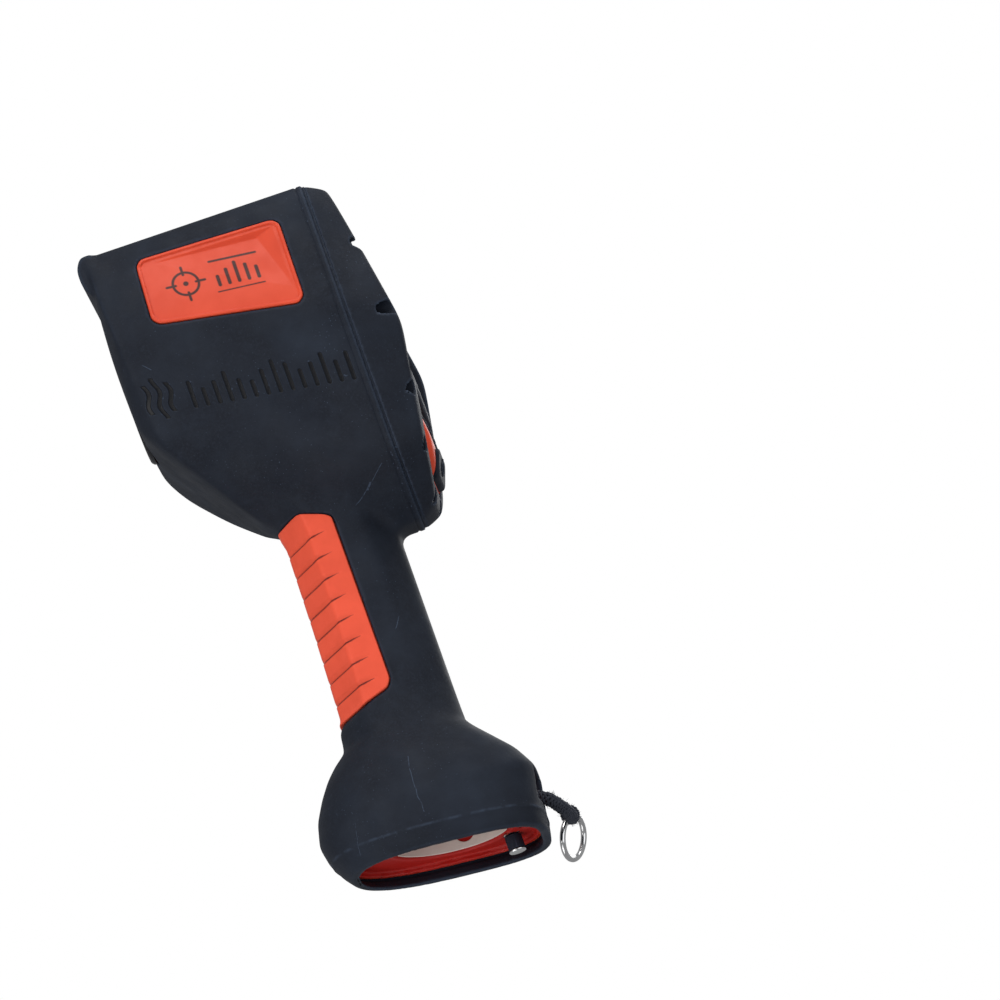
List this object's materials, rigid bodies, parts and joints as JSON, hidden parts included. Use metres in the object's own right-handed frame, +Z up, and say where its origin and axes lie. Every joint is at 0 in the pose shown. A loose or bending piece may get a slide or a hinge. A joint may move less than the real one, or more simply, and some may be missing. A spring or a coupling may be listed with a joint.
{
  "type": "thermal imaging camera",
  "caption": "Rugged pistol-grip thermal imaging camera: faceted rubber-clad head with front lens and rear display, ribbed grip, flared foot with stick battery and lanyard.",
  "frame": {"origin": "on the resting plane, at the middle of the foot rim's front edge, in the plane of symmetry of the head", "axes": "+Z up, square to the plane of the foot's rim; -X is where the lens looks; +X is the display side; +Y is the side the lanyard hangs on. The grip's axis leans 6.3 degrees towards -X."},
  "size_m": [0.1458, 0.1162, 0.2779],
  "materials": {
    "black_rubber": "matt, slightly blue black",
    "orange_plastic": "satin orange red",
    "orange_grip_rubber": "matt orange red",
    "black_plastic": "fine matt grain",
    "black_steel": "black oxide",
    "display_glass": "gloss, dark behind",
    "germanium": "polished dark grey",
    "black_aluminium": "black anodised",
    "bare_aluminium": "satin",
    "circuit_board": "green solder mask",
    "flex_circuit": "amber film",
    "brass_contact": "bright",
    "red_wire": "satin",
    "black_wire": "satin",
    "cell_wrap": "shrink wrap",
    "white_label": "matt, unprinted",
    "bright_steel": "bright plating",
    "black_cord": "braided"
  },
  "bodies": {
    "camera": {"body_jacket": "black_rubber", "inner_housing": "orange_plastic", "grip_insert": "orange_grip_rubber", "side_badge_left": "orange_plastic", "side_badge_right": "orange_plastic", "seam_gasket": "black_rubber", "rear_bezel": "black_plastic", "bezel_screw_1": "black_steel", "bezel_screw_2": "black_steel", "bezel_screw_3": "black_steel", "bezel_screw_4": "black_steel", "bezel_screw_5": "black_steel", "bezel_screw_6": "black_steel", "bezel_screw_7": "black_steel", "bezel_screw_8": "black_steel", "bezel_screw_9": "black_steel", "bezel_screw_10": "black_steel", "display_gasket": "black_rubber", "display_glass": "display_glass", "display_module": "black_plastic", "button_panel": "orange_plastic", "button_board": "circuit_board", "lens_ring": "black_aluminium", "front_window": "germanium", "window_gasket": "black_rubber", "lens_barrel": "black_aluminium", "lens_element": "germanium", "sensor_housing": "bare_aluminium", "sensor_array": "circuit_board", "heat_spreader": "bare_aluminium", "main_board": "circuit_board", "processor_shield": "bare_aluminium", "sensor_flex": "flex_circuit", "display_flex": "flex_circuit", "contact_block": "black_plastic", "spring_contact_1": "brass_contact", "spring_contact_2": "brass_contact", "power_lead_positive": "red_wire", "power_lead_negative": "black_wire", "bay_label": "white_label", "lanyard_anchor_post": "bright_steel", "lanyard_anchor_sleeve": "black_plastic", "lanyard_pivot_pin": "bright_steel", "lanyard_loop": "black_cord"},
    "power_button": {"power_button": "black_rubber"},
    "left_button": {"left_button": "black_rubber"},
    "right_button": {"right_button": "black_rubber"},
    "shutter": {"shutter_flag": "black_steel"},
    "battery": {"battery_case": "orange_plastic", "battery_cap": "orange_plastic", "battery_oring": "black_rubber", "cell_1": "cell_wrap", "cell_2": "cell_wrap", "battery_centre_pad": "brass_contact", "battery_ring_pad": "brass_contact", "battery_label": "white_label"},
    "cord": {"lanyard_cord": "black_cord"},
    "ring": {"lanyard_ring": "bright_steel"}
  },
  "joints": [
    {"name": "power_press", "type": "slide", "parent": "camera", "child": "power_button", "axis": [-0.994, 0, -0.1093], "range_m": [0, 0.0012], "stiffness_N_per_m": 600, "springref_m": -0.0008},
    {"name": "left_press", "type": "slide", "parent": "camera", "child": "left_button", "axis": [-0.994, 0, -0.1093], "range_m": [0, 0.0012], "stiffness_N_per_m": 600, "springref_m": -0.0008},
    {"name": "right_press", "type": "slide", "parent": "camera", "child": "right_button", "axis": [-0.994, 0, -0.1093], "range_m": [0, 0.0012], "stiffness_N_per_m": 600, "springref_m": -0.0008},
    {"name": "shutter_swing", "type": "hinge", "parent": "camera", "child": "shutter", "pos_m": [-0.01796, 0.015, 0.20675], "axis": [-0.994, 0, -0.1093], "range_deg": [0, 62]},
    {"name": "battery_draw", "type": "slide", "parent": "camera", "child": "battery", "axis": [0.1093, 0, -0.994], "range_m": [0, 0.19], "stiffness_N_per_m": 30, "springref_m": -0.2},
    {"name": "cord_swing", "type": "hinge", "parent": "camera", "child": "cord", "pos_m": [0.0772, 0.0015, 0.01752], "axis": [-0.1093, 0, 0.994], "range_deg": [-70, 8]},
    {"name": "ring_swing", "type": "hinge", "parent": "cord", "child": "ring", "pos_m": [0.08777, 0.048, 0.01748], "axis": [0.4979, 0.7747, 0.3899], "range_deg": [-30, 30]}
  ]
}
